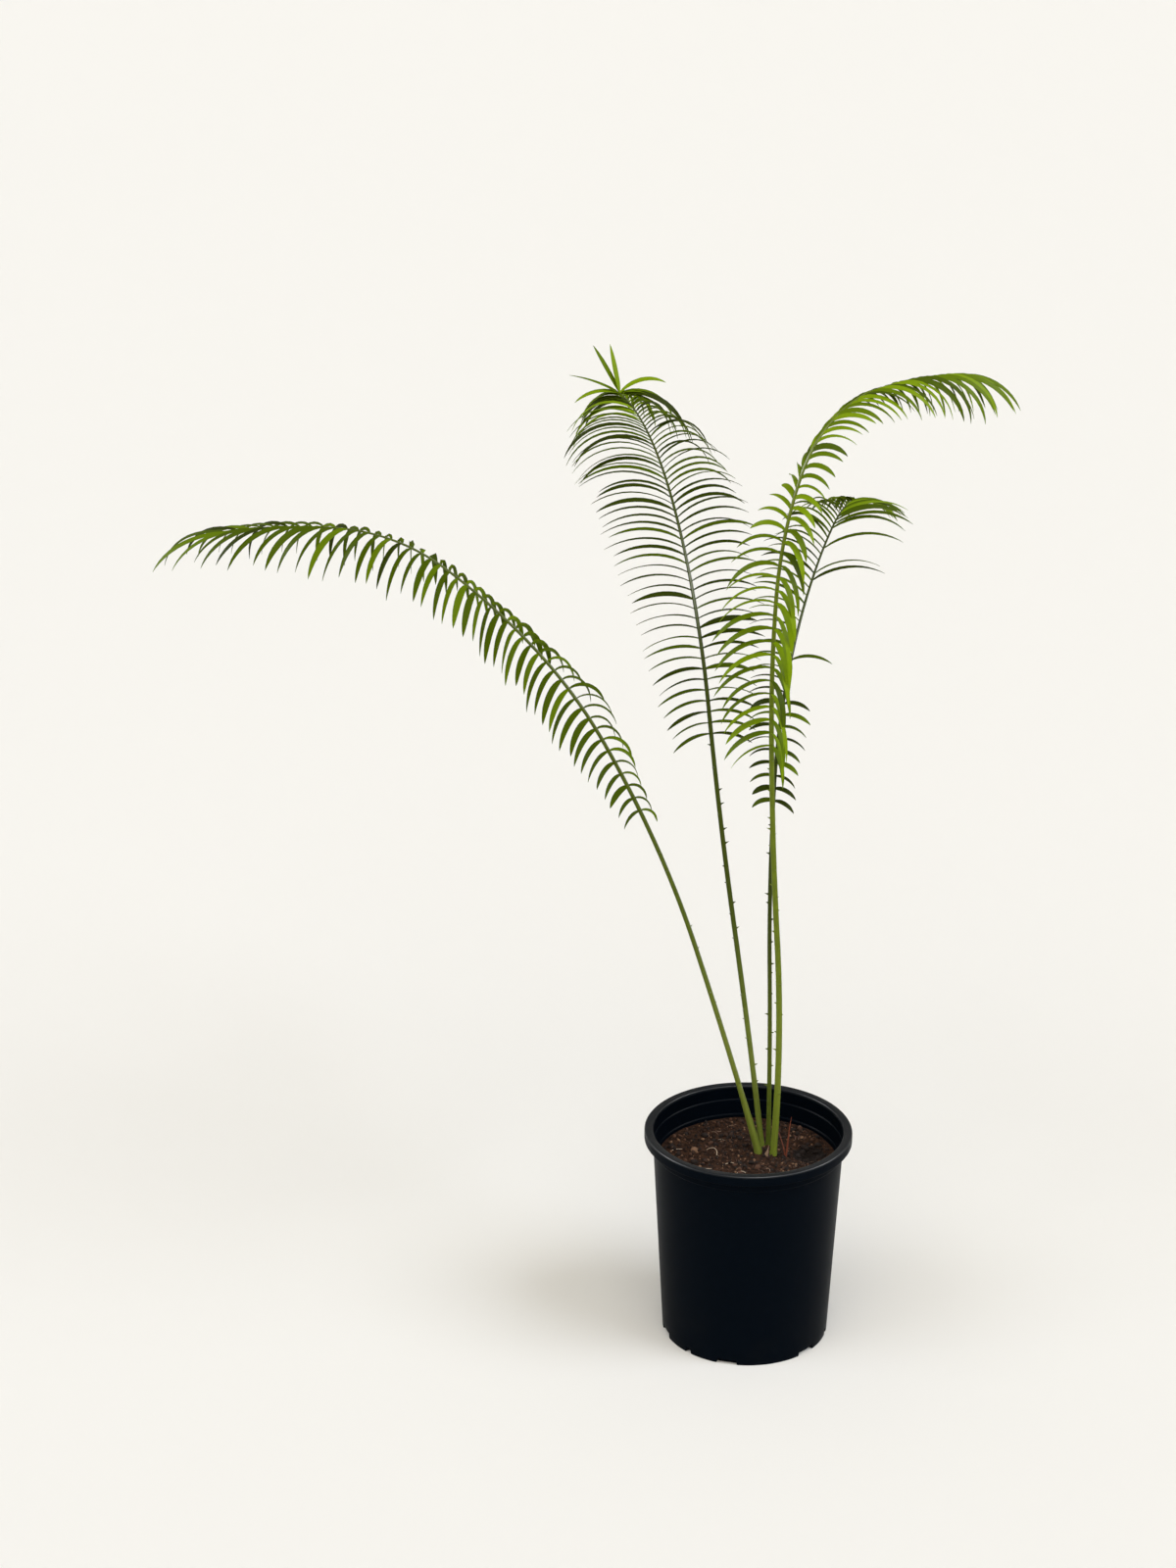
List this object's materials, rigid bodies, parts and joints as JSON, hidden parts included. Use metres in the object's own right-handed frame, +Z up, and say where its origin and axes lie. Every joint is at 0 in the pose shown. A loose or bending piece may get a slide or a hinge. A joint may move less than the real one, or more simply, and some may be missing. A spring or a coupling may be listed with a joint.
{
  "type": "potted cycad",
  "caption": "Young Cycas pectinata with long arching feather fronds on bare stalks, standing in a round black nursery pot filled with soil.",
  "frame": {"origin": "middle of the pot's flat underside", "axes": "+Z up along the pot's axis, -Y towards the pot's front, the side the picture shows"},
  "size_m": [1.1317, 0.8602, 1.2951],
  "materials": {
    "black_plastic": "satin",
    "peat": "matte",
    "dry_scale": "matte",
    "dead_leaf": "matte",
    "stalk_green": "satin",
    "leaf_green": "satin"
  },
  "bodies": {
    "root": {"pot": "black_plastic", "soil": "peat", "crown": "dry_scale", "dead_spike": "dead_leaf", "stalk_left": "stalk_green", "stalk_middle": "stalk_green", "stalk_right": "stalk_green", "stalk_back": "stalk_green", "frond_left_low": "leaf_green", "frond_left_high": "leaf_green", "frond_middle_low": "leaf_green", "frond_middle_high": "leaf_green", "frond_right_low": "leaf_green", "frond_right_high": "leaf_green", "frond_back_low": "leaf_green", "frond_back_high": "leaf_green"}
  },
  "joints": []
}
